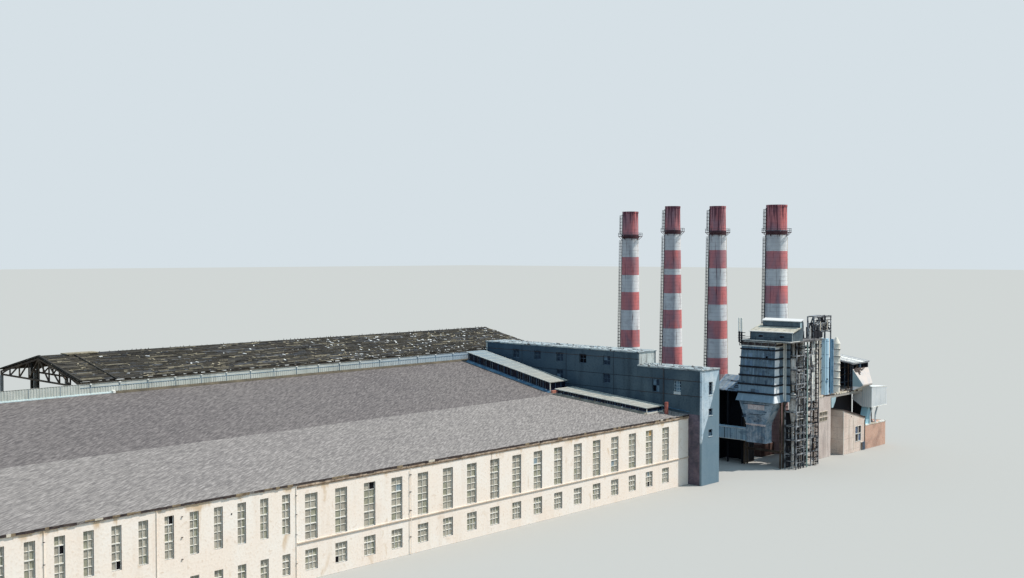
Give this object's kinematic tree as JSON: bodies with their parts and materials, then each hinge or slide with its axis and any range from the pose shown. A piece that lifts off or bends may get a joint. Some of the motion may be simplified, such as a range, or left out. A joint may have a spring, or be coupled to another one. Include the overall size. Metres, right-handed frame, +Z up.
{
  "type": "factory building, 1:10 scale model",
  "caption": "Long factory hall with roof lanterns, a ruined rear nave, a tall furnace block, banded chimneys and a dust-collector tower, as a 1:10 scale model.",
  "frame": {"origin": "centre of the main hall's plan, on the ground under its floor", "axes": "+X along the hall towards the chimneys, +Y from the window wall to the rear nave, +Z up"},
  "size_m": [24.742, 11.0735, 6.54],
  "materials": {
    "floor_concrete": "rough",
    "cream_render": "matt",
    "dark_cornice": "matt",
    "roof_pale": "matt",
    "roof_dark": "matt",
    "frame_concrete": "rough",
    "old_glass": "dirty",
    "rusty_sheet": "weathered",
    "corrugated_sheet": "weathered",
    "lantern_steel": "weathered",
    "dark_glass": "dirty",
    "lantern_cover": "matt",
    "rusty_steel": "rusty",
    "panel_concrete": "weathered",
    "roof_felt": "streaked",
    "banded_masonry": "weathered",
    "dark_steel": "rusty",
    "yard_brick": "rough",
    "casing_sheet": "weathered",
    "pale_render": "matt",
    "ribbed_sheet": "weathered",
    "white_sheet": "weathered"
  },
  "bodies": {
    "root": {"hall_floor": "floor_concrete", "hall_upper_floor": "floor_concrete", "hall_front_wall_left": "cream_render", "hall_front_wall_middle": "cream_render", "hall_front_wall_main": "cream_render", "hall_cornice": "dark_cornice", "hall_belt_course": "cream_render", "hall_gable_front": "cream_render", "hall_gable_rear": "cream_render", "hall_gable_head": "cream_render", "hall_rear_wall": "cream_render", "hall_roof_lower": "roof_pale", "hall_roof_upper": "roof_dark", "hall_columns": "frame_concrete", "hall_roof_beams": "frame_concrete", "hall_upper_windows": "old_glass", "hall_lower_windows": "old_glass", "downpipes": "rusty_sheet", "parapet": "corrugated_sheet", "front_lantern_frame": "lantern_steel", "front_lantern_glass": "dark_glass", "front_lantern_roof": "lantern_cover", "rear_lantern_frame": "lantern_steel", "rear_lantern_glass": "dark_glass", "rear_lantern_roof": "lantern_cover", "nave_trusses": "rusty_steel", "nave_purlins": "rusty_steel", "nave_columns": "frame_concrete", "block_hall_wall": "panel_concrete", "block_front_wall": "panel_concrete", "block_yard_wall": "panel_concrete", "block_cross_walls": "panel_concrete", "block_roofs": "roof_felt", "block_floors": "floor_concrete", "block_windows": "old_glass", "chimney_1": "banded_masonry", "chimney_2": "banded_masonry", "chimney_3": "banded_masonry", "chimney_4": "banded_masonry", "chimney_galleries": "dark_steel", "chimney_ladders": "dark_steel", "flues": "yard_brick", "tower_casing": "casing_sheet", "tower_hopper": "casing_sheet", "tower_legs": "dark_steel", "tower_deck": "casing_sheet", "penthouse_walls": "casing_sheet", "penthouse_roofs": "roof_felt", "pipe_rack": "dark_steel", "gas_duct": "casing_sheet", "link_roof": "corrugated_sheet", "shaft_house": "pale_render", "shafts": "ribbed_sheet", "annex_walls": "pale_render", "annex_front": "pale_render", "annex_roof": "roof_felt", "brick_house": "yard_brick", "loading_hood": "white_sheet", "cyclones": "white_sheet", "charging_shed": "roof_felt"}
  },
  "joints": []
}
